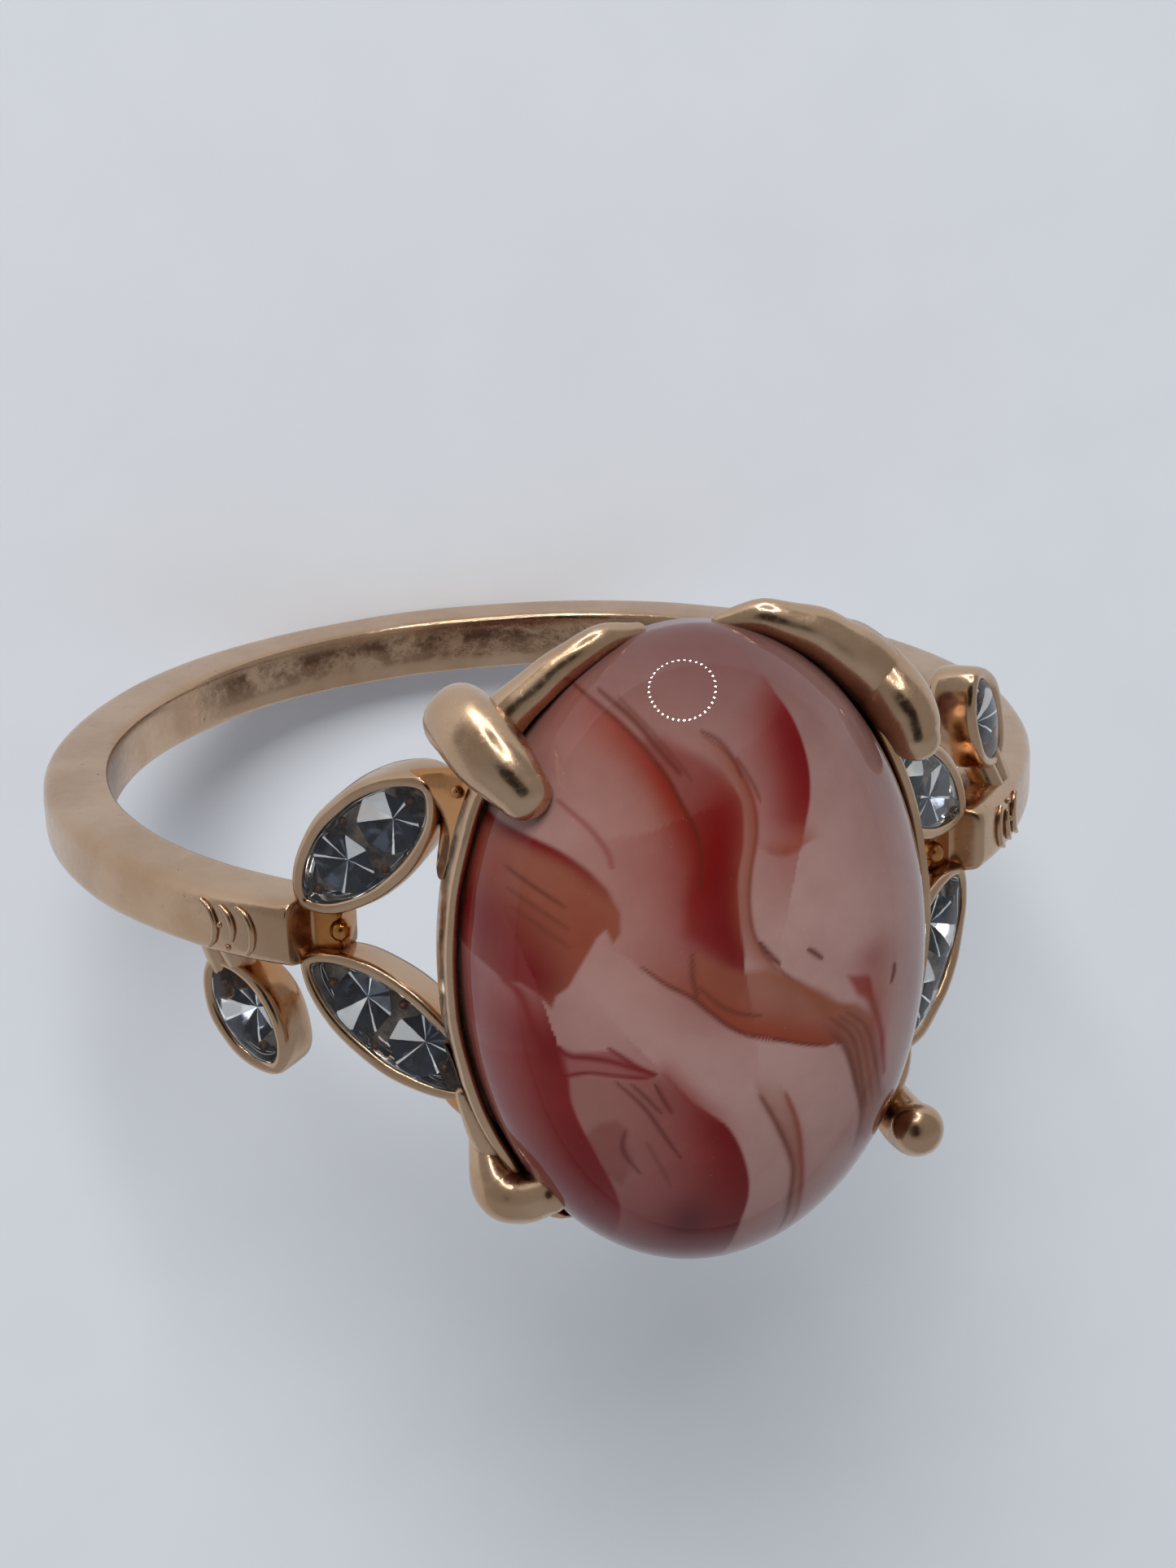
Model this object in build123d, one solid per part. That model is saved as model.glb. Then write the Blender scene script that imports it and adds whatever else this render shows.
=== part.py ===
from build123d import *
import math
import os

# Cocktail ring. Origin at the centre of the finger bore, +Y along the finger, +Z towards the stone.
# The ring is two-fold symmetric: the right shoulder is the left one turned 180 degrees about +Z.
# All sizes are in millimetres.

# --- driving dimensions -----------------------------------------------------------------------
BORE_R = 10.1                     # finger bore radius
BAND_THICK = 1.54                 # shank thickness, measured radially
BAND_WIDTH = 1.45                 # shank width, along the finger
BAND_EDGE_R = 0.38                # rounding of the shank's outer edges
BAND_BORE_EDGE_R = 0.12           # rounding of the shank's bore edges
BAND_END_ANGLE = 37.5             # the shank stops this far from the stone's centre line
FORK_ANGLE = 42.0                 # from here to its end the shank is thinned, as the fork's floor
FORK_THICK = 0.80                 # thickness left there

STONE_A = 4.85                    # half width of the oval cabochon, across the finger
STONE_B = 6.85                    # half length of the oval cabochon, along the finger
STONE_DOME = 3.75                 # dome height above the girdle
STONE_GIRDLE_Z = 12.05            # height of the girdle
STONE_SKIRT = 0.50                # straight edge of the stone below the girdle

WALL = 0.30                       # gallery wall thickness
WALL_TOP_Z = 12.10                # top of the gallery wall
WALL_TAPER_Z = 11.30              # below this height the gallery narrows
WALL_BOTTOM_Z = 10.35             # bottom of the gallery wall
WALL_TAPER = 0.70                 # how much the gallery draws in towards its bottom
GLUE = 0.08                       # adhesive film on the seat
GLUE_INSET = 0.15                 # the film stops this far inside the stone's edge
STONE_GAP = 0.05                  # slack between the stone's edge and the wall

CUP_WALL = 0.30                   # rim thickness of a leaf cup
CUP_DEPTH = 1.04                  # overall depth of a leaf cup, which keeps it clear of the finger
POCKET_DEPTH = 0.78               # depth of the pocket in a leaf cup
TIP_ROUND = 0.45                  # rounding of a leaf's two tips
RESIN_BELOW_RIM = 0.04            # the resin stops just below the rim

GEM_R = 0.68                      # rhinestone girdle radius
GEM_CROWN = 0.18                  # crown height
GEM_TABLE_R = 0.38                # table radius
GEM_GIRDLE = 0.04                 # girdle thickness
GEM_PAVILION = 0.44               # pavilion depth
GEM_PITCH = 1.52                  # spacing of the two rhinestones in a long leaf
GEM_BELOW_RIM = 0.08              # the table sits this far below the rim

CLAW_ROOT_R = 0.62                # claw radius where it leaves the gallery
CLAW_TIP_R = 0.50                 # claw radius at its tip

BRIDGE_LENGTH = 1.30              # bar between a long leaf's inner tip and the gallery
BRIDGE_WIDTH = 0.90
BRIDGE_HEIGHT = 0.75
BRIDGE_TOP_Z = 11.10
BRIDGE_INSET = 0.15               # the bar's middle sits this far inside the leaf's pocket end

TENDRIL_RISE = 0.14               # the tendril stands this proud of the band
TENDRIL_SPAN = 1.20               # its extent along the finger
TENDRIL_SHIFT = 0.05              # how far its middle is from the band's middle plane
TENDRIL_ARC = 8.0                 # its width, in degrees round the band
TENDRIL_ANGLE = 49.0              # its place, from the stone's centre line

MARGIN = 1.0                      # how far a cutting shape runs past the piece that it cuts

# Pocket ends of the left shoulder's leaves on their rim line: outer end, inner end, pocket width.
UPPER_LEAF = (Vector(-7.57, 0.54, 8.40), Vector(-4.97, 3.75, 10.85), 1.62)
LOWER_LEAF = (Vector(-7.48, -0.60, 8.50), Vector(-4.53, -3.05, 11.05), 1.50)
SMALL_LEAF = (Vector(-9.15, -1.08, 6.60), Vector(-8.08, -3.45, 7.70), 1.30)

# Claws are bent over by hand, so each has its own root, knee and tip centre.
CLAWS = {
    "left_upper": (Vector(-4.40, 4.70, 10.80), Vector(-4.62, 5.15, 12.10), Vector(-3.68, 4.22, 13.70)),
    "right_upper": (Vector(3.95, 5.35, 10.80), Vector(4.50, 4.85, 11.90), Vector(4.50, 4.02, 12.95)),
    "left_lower": (Vector(-4.25, -3.75, 10.90), Vector(-4.30, -4.75, 11.60), Vector(-3.52, -4.72, 12.75)),
    "right_lower": (Vector(4.45, -4.55, 10.80), Vector(4.75, -4.80, 12.00), Vector(4.52, -4.45, 12.75)),
}

os.makedirs("parts", exist_ok=True)


def write(node, shape):
    """Write one sub-part to parts/NODE.step."""
    export_step(shape, f"parts/{node}.step")


def other_side(shape):
    """The same piece on the right-hand side of the ring."""
    return shape.rotate(Axis.Z, 180)


def oval(half_x, half_y, low, high):
    """A solid oval disc between two heights."""
    return Pos(0, 0, low) * extrude(Ellipse(half_x, half_y), high - low)


# --- cabochon, gallery and adhesive -----------------------------------------------------------
def make_cabochon():
    """Oval cabochon: a high dome on a short straight skirt, flat below."""
    ball = Pos(0, 0, STONE_GIRDLE_Z) * scale(Sphere(1.0), by=(STONE_A, STONE_B, STONE_DOME))
    top_half = oval(2 * STONE_A, 2 * STONE_B, STONE_GIRDLE_Z, STONE_GIRDLE_Z + 2 * STONE_DOME)
    skirt = oval(STONE_A, STONE_B, STONE_GIRDLE_Z - STONE_SKIRT, STONE_GIRDLE_Z)
    return (ball & top_half) + skirt


def make_adhesive():
    """Thin oval film between the seat and the stone's flat base."""
    top = STONE_GIRDLE_Z - STONE_SKIRT
    film = oval(STONE_A - GLUE_INSET, STONE_B - GLUE_INSET, top - GLUE, top)
    return film - oval(STONE_A - WALL_TAPER, STONE_B - WALL_TAPER, top - MARGIN, top + MARGIN)


def gallery_envelope():
    """The gallery's outside as a solid: upright at the top, drawn in towards the bottom."""
    outer_a = STONE_A + STONE_GAP + WALL
    outer_b = STONE_B + STONE_GAP + WALL
    top_of_taper = Pos(0, 0, WALL_TAPER_Z) * Ellipse(outer_a, outer_b)
    foot = Pos(0, 0, WALL_BOTTOM_Z) * Ellipse(outer_a - WALL_TAPER, outer_b - WALL_TAPER)
    return oval(outer_a, outer_b, WALL_TAPER_Z, WALL_TOP_Z) + loft([foot, top_of_taper])


def make_gallery():
    """Oval wall around the stone with an inner seat that carries it."""
    seat_z = STONE_GIRDLE_Z - STONE_SKIRT - GLUE
    foot_a = STONE_A - WALL_TAPER
    foot_b = STONE_B - WALL_TAPER
    wall = gallery_envelope()
    wall -= oval(STONE_A + STONE_GAP, STONE_B + STONE_GAP, seat_z, WALL_TOP_Z + MARGIN)
    wall -= oval(foot_a, foot_b, WALL_BOTTOM_Z - MARGIN, WALL_TOP_Z + MARGIN)
    return wall


# --- claws ------------------------------------------------------------------------------------
def make_claw(points, blockers):
    """Thick rounded claw: up the gallery's outside, past the edge and along the dome's side."""
    root, knee, tip = points
    path = Spline(root, knee, tip)
    sections = Sketch() + [
        Plane(root, z_dir=path % 0) * Circle(CLAW_ROOT_R),
        Plane(tip, z_dir=path % 1) * Circle(CLAW_TIP_R),
    ]
    claw = sweep(sections, path=path, multisection=True)
    claw += Pos(tip) * Sphere(CLAW_TIP_R)
    for blocker in blockers:
        claw -= blocker
    return largest(claw)


def largest(shape):
    """The biggest solid of a shape, without slivers left by a cut."""
    return max(shape.solids(), key=lambda solid: solid.volume)


# --- leaf cups --------------------------------------------------------------------------------
def leaf_plane(leaf):
    """The rim plane of a leaf: x runs from its outer end to its inner end, z points outward."""
    outer, inner, _ = leaf
    along = (inner - outer).normalized()
    middle = (inner + outer) * 0.5
    radial = Vector(middle.X, 0, middle.Z).normalized()
    normal = (radial - along * radial.dot(along)).normalized()
    return Plane(origin=middle, x_dir=along, z_dir=normal)


def leaf_outline(leaf, grow=0.0):
    """Marquise outline of the pocket, grown by the wall for the outside."""
    outer, inner, width = leaf
    half_length = (inner - outer).length / 2 + grow
    half_width = width / 2 + grow
    top = ThreePointArc((-half_length, 0), (0, half_width), (half_length, 0))
    bottom = ThreePointArc((half_length, 0), (0, -half_width), (-half_length, 0))
    face = make_face([top, bottom])
    return fillet(face.vertices(), TIP_ROUND)


def outer_body(leaf):
    """A leaf cup's outer shape, without its pocket."""
    blank = extrude(leaf_outline(leaf, CUP_WALL), CUP_DEPTH)
    return leaf_plane(leaf) * Pos(0, 0, -CUP_DEPTH) * blank


def gem_places(leaf, count):
    """Centres of a leaf's rhinestones on its rim plane."""
    first = -GEM_PITCH * (count - 1) / 2
    return [leaf_plane(leaf) * Pos(first + GEM_PITCH * index, 0, 0) for index in range(count)]


def make_gem():
    """Round brilliant: flat table, conical crown, thin girdle, conical pavilion."""
    table_z = -GEM_BELOW_RIM
    girdle_z = table_z - GEM_CROWN
    belt_z = girdle_z - GEM_GIRDLE
    profile = Polyline(
        (0, table_z),
        (GEM_TABLE_R, table_z),
        (GEM_R, girdle_z),
        (GEM_R, belt_z),
        (0, belt_z - GEM_PAVILION),
        close=True,
    )
    return revolve(Plane.XZ * make_face(profile), Axis.Z)


def make_leaf(leaf, gem_count, blocker):
    """One leaf: its cup, its resin filling and its rhinestones."""
    plane = leaf_plane(leaf)
    body = outer_body(leaf)
    pocket = plane * Pos(0, 0, -POCKET_DEPTH) * extrude(leaf_outline(leaf), POCKET_DEPTH)
    gems = [place * make_gem() for place in gem_places(leaf, gem_count)]
    resin_depth = POCKET_DEPTH - RESIN_BELOW_RIM
    resin = plane * Pos(0, 0, -POCKET_DEPTH) * extrude(leaf_outline(leaf), resin_depth)
    resin -= blocker
    for gem in gems:
        resin -= gem
    return largest(body - pocket - blocker), largest(resin), gems


# --- shank and its tendrils -------------------------------------------------------------------
def band_profile():
    """Rounded rectangle of the shank's section, in the XY plane at the back of the bore."""
    middle = -BORE_R - BAND_THICK / 2
    section = Pos(middle, 0) * Rectangle(BAND_THICK, BAND_WIDTH)
    outer = section.vertices().group_by(Axis.X)[0]
    section = fillet(outer, BAND_EDGE_R)
    bore = section.vertices().group_by(Axis.X)[-1]
    return fillet(bore, BAND_BORE_EDGE_R)


def make_shank():
    """Plain band, open at the stone: from one shoulder round the back to the other."""
    section = band_profile().rotate(Axis.Y, 90 - BAND_END_ANGLE)
    band = revolve(section, Axis.Y, revolution_arc=-(360 - 2 * BAND_END_ANGLE))
    layer = BAND_THICK - FORK_THICK
    over_fork = Pos(-BORE_R - FORK_THICK - layer / 2, 0) * Rectangle(layer, 2 * BAND_WIDTH)
    over_fork = over_fork.rotate(Axis.Y, 90 - FORK_ANGLE)
    cut = revolve(over_fork, Axis.Y, revolution_arc=FORK_ANGLE)
    return band - cut - other_side(cut)


def make_tendril(small_cup):
    """Raised stem across the shank, ending at the small leaf: a curved strap lying on the band."""
    outer_face = BORE_R + BAND_THICK
    strap = revolve(
        Pos(-outer_face - TENDRIL_RISE / 2, TENDRIL_SHIFT)
        * Rectangle(TENDRIL_RISE, TENDRIL_SPAN),
        Axis.Y,
        revolution_arc=-TENDRIL_ARC,
    )
    return strap.rotate(Axis.Y, 90 - TENDRIL_ANGLE + TENDRIL_ARC / 2) - small_cup


def make_bridge(leaf, cup, gallery_solid):
    """Short bar under a long leaf's inner tip that ties the cup to the gallery wall."""
    inner = leaf[1]
    outward = Vector(inner.X, inner.Y, 0).normalized()
    middle = Vector(inner.X, inner.Y, BRIDGE_TOP_Z - BRIDGE_HEIGHT / 2) - outward * BRIDGE_INSET
    bar = Plane(middle, x_dir=outward, z_dir=Vector(0, 0, 1)) * Box(
        BRIDGE_LENGTH, BRIDGE_WIDTH, BRIDGE_HEIGHT
    )
    inside = oval(STONE_A, STONE_B, WALL_BOTTOM_Z - MARGIN, WALL_TOP_Z + MARGIN)
    return largest(bar - cup - gallery_solid - inside)


# --- build and write --------------------------------------------------------------------------
cabochon = make_cabochon()
gallery = make_gallery()
write("cabochon", cabochon)
write("adhesive_film", make_adhesive())
write("gallery", gallery)

leaves = {"upper": (UPPER_LEAF, 2), "lower": (LOWER_LEAF, 2), "small": (SMALL_LEAF, 1)}
envelope = gallery_envelope()
cups = {}
fillings = {}
stones = {}
for leaf_name, (leaf_shape, gem_count) in leaves.items():
    cups[leaf_name], fillings[leaf_name], stones[leaf_name] = make_leaf(leaf_shape, gem_count, envelope)

whole_cups = [outer_body(leaf_shape) for leaf_shape, _ in leaves.values()]
shank = make_shank()
for cup_body in whole_cups:
    shank -= cup_body
    shank -= other_side(cup_body)
write("shank", largest(shank))

both_sides = whole_cups + [other_side(cup_body) for cup_body in whole_cups]
claws = {
    name: make_claw(points, [cabochon, gallery] + both_sides)
    for name, points in CLAWS.items()
}
for name, claw in claws.items():
    write(f"{name}_claw", claw)
tendril = make_tendril(whole_cups[2])
bridges = {
    name: make_bridge(leaves[name][0], outer_body(leaves[name][0]), envelope)
    for name in ("upper", "lower")
}

def on_side(side, shape):
    """A left-shoulder piece as it is, or turned to the right shoulder."""
    return shape if side == "left" else other_side(shape)


# The turned copies swap upper and lower, because the half turn about +Z also flips +Y.
labels = {
    "left": {"upper": "left_upper", "lower": "left_lower", "small": "left_small"},
    "right": {"upper": "right_lower", "lower": "right_upper", "small": "right_small"},
}
for side, label_of in labels.items():
    for name in leaves:
        label = label_of[name]
        write(f"{label}_leaf_cup", on_side(side, cups[name]))
        write(f"{label}_leaf_resin", on_side(side, fillings[name]))
        for number, gem in enumerate(stones[name], start=1):
            write(f"{label}_rhinestone_{number}", on_side(side, gem))
    for name, bridge in bridges.items():
        label = label_of[name]
        write(f"{label}_bridge", largest(on_side(side, bridge) - claws[label]))
    write(f"{side}_tendril", on_side(side, tendril))
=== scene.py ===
from math import atan2, copysign, cos, hypot, pi, radians, sin
import bmesh
import bpy
import numpy as np
from mathutils import Matrix, Vector, noise


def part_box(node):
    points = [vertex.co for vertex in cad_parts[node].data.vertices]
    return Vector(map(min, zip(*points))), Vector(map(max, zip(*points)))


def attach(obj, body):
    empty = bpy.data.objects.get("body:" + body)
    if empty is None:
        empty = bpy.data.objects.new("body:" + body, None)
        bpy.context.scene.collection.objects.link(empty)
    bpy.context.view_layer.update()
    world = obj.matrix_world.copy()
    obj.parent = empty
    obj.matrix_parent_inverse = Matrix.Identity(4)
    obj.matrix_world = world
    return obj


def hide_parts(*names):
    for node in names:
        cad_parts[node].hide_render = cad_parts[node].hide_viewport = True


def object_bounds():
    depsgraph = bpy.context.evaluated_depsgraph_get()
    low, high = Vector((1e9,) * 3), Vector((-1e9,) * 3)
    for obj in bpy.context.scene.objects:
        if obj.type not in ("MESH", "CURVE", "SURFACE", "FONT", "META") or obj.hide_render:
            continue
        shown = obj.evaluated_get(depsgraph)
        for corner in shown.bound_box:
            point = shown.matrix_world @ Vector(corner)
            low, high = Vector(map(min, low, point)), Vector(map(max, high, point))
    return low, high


# Cocktail ring: the looks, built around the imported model. Shapes are written in millimetres, which
# make_mesh turns into metres; the camera, the lights and the node settings are in metres. The origin is
# the centre of the finger bore, +Y runs along the finger and +Z towards the stone.

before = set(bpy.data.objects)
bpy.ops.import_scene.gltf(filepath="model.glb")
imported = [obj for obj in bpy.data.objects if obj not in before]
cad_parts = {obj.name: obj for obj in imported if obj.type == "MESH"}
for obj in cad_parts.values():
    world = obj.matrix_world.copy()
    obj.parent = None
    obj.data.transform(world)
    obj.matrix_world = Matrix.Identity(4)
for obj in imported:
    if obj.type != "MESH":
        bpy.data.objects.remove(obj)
CAD_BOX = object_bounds()
MM = 0.001
BODY = "root"
METAL_SLOT = "rose_gold_plate"
noise.seed_set(1)        # its vectors start from the clock otherwise, and no two runs agree

# --- camera and light ---
CAMERA_TURN = radians(-15.42)    # about the finger axis, from the stone's axis
CAMERA_RISE = radians(19.65)     # out of the band's plane, towards +Y
CAMERA_ROLL = radians(2.08)
CAMERA_DISTANCE = 74.8 * MM
CAMERA_SIDEWAYS = 1.2 * MM       # how far the view's centre is from the bore's centre
CAMERA_UPWARD = -0.48 * MM
CAMERA_LENS = 95.9

PAPER_SIDE = Vector((0.0, -0.97, -0.25)).normalized()    # the pale surface that the ring faces
WORLD_PAPER = (0.39, 0.405, 0.44, 1.0)
WORLD_ROOM = (0.32, 0.32, 0.325, 1.0)
WORLD_DARK = (0.02, 0.017, 0.015, 1.0)
DARK_HALF_ANGLE = radians(17)
DARK_BLUR = radians(12)
LAMP_AIM = Vector((0, 6.1, 13.6)) * MM    # the upper end of the stone
LAMP_DIRECTION = Vector((0.03, 0.98, 0.2)).normalized()
LAMP_DISTANCE = 100 * MM
LAMP_HALF_WIDTH = 30 * MM
LAMP_HALF_HEIGHT = 40 * MM
LAMP_DOTS = 36
LAMP_DOT_RADIUS = 1.4 * MM
LAMP_STRENGTH = 130.0
KEY_DIRECTION = Vector((-0.25, 0.75, 0.75)).normalized()
KEY_DISTANCE = 600 * MM
KEY_SIZE = 240 * MM
KEY_POWER = 2.7
KEY_COLOUR = (1.0, 0.99, 0.97)
FLOOR_HALF = 4.0                 # metres

ROSE_GOLD = (0.61, 0.415, 0.27, 1.0)
ROSE_GOLD_DEEP = (0.52, 0.335, 0.205, 1.0)
AMBER = (0.5, 0.215, 0.065, 1.0)
TARNISH = (0.075, 0.03, 0.014, 1.0)


# --- small tools ---
def link_object(obj):
    """Put an object into the scene."""
    bpy.context.scene.collection.objects.link(obj)
    return obj


def make_mesh(name, points_mm, faces, materials, sharp_angle=radians(40)):
    """A smooth-shaded mesh object from points in millimetres."""
    mesh = bpy.data.meshes.new(name)
    mesh.from_pydata([tuple(p) for p in np.asarray(points_mm) * MM], [], faces)
    for material in materials:
        mesh.materials.append(material)
    mesh.validate()
    shape = bmesh.new()
    shape.from_mesh(mesh)
    bmesh.ops.recalc_face_normals(shape, faces=shape.faces)
    shape.to_mesh(mesh)
    shape.free()
    mesh.shade_smooth()
    mesh.set_sharp_from_angle(angle=sharp_angle)
    return link_object(bpy.data.objects.new(name, mesh))


def finish_piece(obj, slot, *nodes):
    """Give a piece its body and hide the CAD nodes that it stands for; slot is not used."""
    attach(obj, BODY)
    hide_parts(*nodes)
    return obj


def add_attribute(obj, name, values):
    """One number per vertex, for the material to read."""
    layer = obj.data.attributes.new(name, "FLOAT", "POINT")
    layer.data.foreach_set("value", np.asarray(values, np.float32))


def skin(rings, cap_start=True, cap_end=True):
    """Points and quads over a list of equal closed rings."""
    count = len(rings[0])
    points = np.concatenate(rings)
    faces = []
    for r in range(len(rings) - 1):
        for i in range(count):
            j = (i + 1) % count
            a, b = r * count + i, r * count + j
            faces.append((a, b, b + count, a + count))
    if cap_start:
        faces.append(tuple(reversed(range(count))))
    if cap_end:
        last = (len(rings) - 1) * count
        faces.append(tuple(range(last, last + count)))
    return points, faces


def curve_through(points, count):
    """Evenly numbered points on a smooth curve through a few given ones (Catmull-Rom)."""
    given = np.asarray(points, float)
    padded = np.vstack([2 * given[0] - given[1], given, 2 * given[-1] - given[-2]])
    out = []
    for t in np.linspace(0, len(given) - 1, count):
        k = min(int(t), len(given) - 2)
        f = t - k
        p0, p1, p2, p3 = padded[k:k + 4]
        out.append(0.5 * (2 * p1 + (p2 - p0) * f + (2 * p0 - 5 * p1 + 4 * p2 - p3) * f ** 2
                          + (3 * p1 - p0 - 3 * p2 + p3) * f ** 3))
    return np.array(out)


def around(count, start=0):
    """Cosine and sine at even steps of a full turn."""
    turns = [2 * pi * (i + start) / count for i in range(count)]
    return [(cos(turn), sin(turn)) for turn in turns]


def smooth_step(x):
    """0 below 0, 1 above 1, smooth between."""
    x = np.clip(x, 0, 1)
    return x * x * (3 - 2 * x)


def roughen(points_mm, height_mm, grain_mm, seed):
    """Move points by a smooth random field, as a cast surface is never quite true."""
    shift = Vector((seed * 7.3, seed * 3.1, seed * 5.7))
    moved = [Vector(p) + noise.noise_vector(Vector(p) / grain_mm + shift) * height_mm
             for p in points_mm]
    return np.array([tuple(p) for p in moved])


# --- node helpers ---
class Nodes:
    """A short way to write a node tree."""

    def __init__(self, tree):
        self.tree = tree

    def add(self, kind, inputs=(), **settings):
        node = self.tree.nodes.new("ShaderNode" + kind)
        for key, value in settings.items():
            setattr(node, key, value)
        for key, value in dict(inputs).items():
            self.put(node.inputs[key], value)
        return node

    def put(self, socket, value):
        if isinstance(value, bpy.types.NodeSocket):
            self.tree.links.new(value, socket)
        else:
            socket.default_value = value

    def ramp(self, value, low, high, out_low=0.0, out_high=1.0):
        node = self.add("MapRange", {"Value": value, "From Min": low, "From Max": high,
                                     "To Min": out_low, "To Max": out_high},
                        interpolation_type="SMOOTHSTEP")
        return node.outputs["Result"]

    def maths(self, operation, a, b):
        node = self.add("Math", operation=operation)
        self.put(node.inputs[0], a)
        self.put(node.inputs[1], b)
        return node.outputs[0]

    def times(self, a, b):
        return self.maths("MULTIPLY", a, b)

    def mix(self, factor, a, b, blend="MIX"):
        node = self.add("Mix", data_type="RGBA", blend_type=blend)
        self.put(node.inputs[0], factor)
        self.put(node.inputs[6], a)
        self.put(node.inputs[7], b)
        return node.outputs[2]


class MaterialNodes(Nodes):
    """The nodes of one new material, around its Principled shader."""

    def __init__(self, name, **sockets):
        self.material = bpy.data.materials.new(name)
        self.material.use_nodes = True
        super().__init__(self.material.node_tree)
        for key, value in sockets.items():
            self.set(key.replace("_", " "), value)

    def set(self, name, value):
        """Fix or link one of the shader's own inputs."""
        self.put(self.tree.nodes["Principled BSDF"].inputs[name], value)

    def noise(self, grain_mm, detail=3.0, rough=0.5):
        place = self.add("TexCoord").outputs["Object"]
        node = self.add("TexNoise", {"Vector": place, "Scale": 1.0 / (grain_mm * MM), "Detail": detail,
                                     "Roughness": rough})
        return node.outputs["Fac"]

    def attribute(self, name, output="Fac"):
        return self.add("Attribute", attribute_name=name).outputs[output]

    def hollow(self, distance_mm):
        """1 in the open, falling towards 0 where surfaces meet within the distance."""
        return self.add("AmbientOcclusion", {"Distance": distance_mm * MM}, samples=6).outputs["AO"]

    def bump(self, height):
        node = self.add("Bump", {"Height": height, "Distance": MM, "Strength": 1.0})
        self.set("Normal", node.outputs["Normal"])


# --- materials ---
def metal_material(name, roughness, pits=0.0, waviness=1.0, hollows=0.85):
    """Rose-gold plate over a cast body: amber in the hollows, tarnish in corners, soft waviness."""
    n = MaterialNodes(name, Metallic=1.0)
    fine = n.noise(0.16, 3.0, 0.6)
    colour = n.mix(n.ramp(n.noise(1.8), 0.35, 0.7), ROSE_GOLD, ROSE_GOLD_DEEP)
    amber = n.times(n.ramp(n.hollow(1.6), 0.72, 0.3), hollows)
    colour = n.mix(n.maths("MAXIMUM", amber, n.attribute("stain")), colour, AMBER)
    speckle = n.times(n.noise(0.12, 4.0, 0.7), 0.5)
    corner = n.ramp(n.maths("ADD", n.hollow(0.35), speckle), 0.85, 0.45)
    patches = n.ramp(n.noise(0.9, 6.0, 0.72), 0.4, 0.62, 0.0, 0.92)
    soot = n.times(n.attribute("soot"), patches)
    pit = n.times(n.ramp(n.noise(0.26, 5.0, 0.75), 0.665, 0.72), pits)
    dark = n.maths("MAXIMUM", n.maths("MAXIMUM", corner, soot), pit)
    n.set("Base Color", n.mix(n.times(dark, 0.9), colour, TARNISH))
    polish = n.ramp(fine, 0.3, 0.75, roughness - 0.04, roughness + 0.08)
    n.set("Roughness", n.maths("ADD", polish, n.times(dark, 0.25)))
    height = n.maths("ADD", n.times(n.noise(0.8, 2.0), 0.016 * waviness), n.times(fine, 0.0008))
    n.bump(n.maths("SUBTRACT", height, n.times(dark, 0.012)))
    return n.material


def cabochon_material():
    """Milky glass with painted swirls and a painted shade under a polished skin."""
    n = MaterialNodes("swirled_glass", IOR=1.52, Specular_IOR_Level=0.22, Subsurface_Weight=0.07,
                      Subsurface_Scale=0.5 * MM, Subsurface_Radius=(1.0, 0.35, 0.25))
    cloud = n.times(n.ramp(n.noise(1.4, 5.0, 0.6), 0.35, 0.7), 0.35)
    fleck = n.times(n.ramp(n.noise(0.14, 4.0, 0.7), 0.66, 0.78), 0.12)
    tinted = n.mix(cloud, n.attribute("swirls_and_shade", "Color"), (0.72, 0.62, 0.6, 1), "MULTIPLY")
    n.set("Base Color", n.mix(fleck, tinted, (0.75, 0.6, 0.56, 1)))
    n.set("Roughness", n.ramp(n.noise(0.9, 4.0, 0.7), 0.4, 0.8, 0.006, 0.018))
    return n.material


def mottled_material(name, first, second, grain, spread=(), rough=(), **sockets):
    """Two tones in soft patches; spread and rough are the ramps from the patches to tone and gloss."""
    n = MaterialNodes(name, **sockets)
    patches = n.noise(*grain)
    n.set("Base Color", n.mix(n.ramp(patches, *spread) if spread else patches, first, second))
    if rough:
        n.set("Roughness", n.ramp(patches, *rough))
    return n


def resin_material():
    """Clear setting resin, slightly smoky and not quite level."""
    n = mottled_material("clear_resin", (0.97, 0.95, 0.93, 1), (0.86, 0.82, 0.8, 1),
                         (0.8, 2.0), (0.3, 0.7), Roughness=0.0, IOR=1.46, Transmission_Weight=1.0)
    n.bump(n.times(n.noise(0.9, 1.0), 0.01))
    return n.material


def crown_material():
    """Clear glass of a rhinestone's crown; its index is the one against the resin that covers it."""
    return mottled_material("rhinestone_crown", (1, 1, 1, 1), (0.93, 0.95, 0.98, 1), (0.5,),
                            Roughness=0.0, IOR=1.07, Transmission_Weight=1.0).material


def foil_material(name, tone, worn, glow=0.0):
    """Foil on a rhinestone's back; the glow is painted light, an emission standing in for the light
    that the resin keeps off the foil.
    """
    return mottled_material(name, tone, worn, (0.35, 4.0, 0.6), (0.45, 0.75), (0.4, 0.8, 0.04, 0.22),
                            Metallic=0.7, Emission_Strength=glow, Emission_Color=tone).material


def pocket_material():
    """Oxidised floor of a leaf pocket, seen through the resin."""
    return mottled_material("pocket_floor", (0.09, 0.08, 0.075, 1), (0.3, 0.24, 0.185, 1),
                            (0.3, 4.0, 0.6), (0.35, 0.7), (0.3, 0.7, 0.25, 0.5), Metallic=0.6).material


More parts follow.
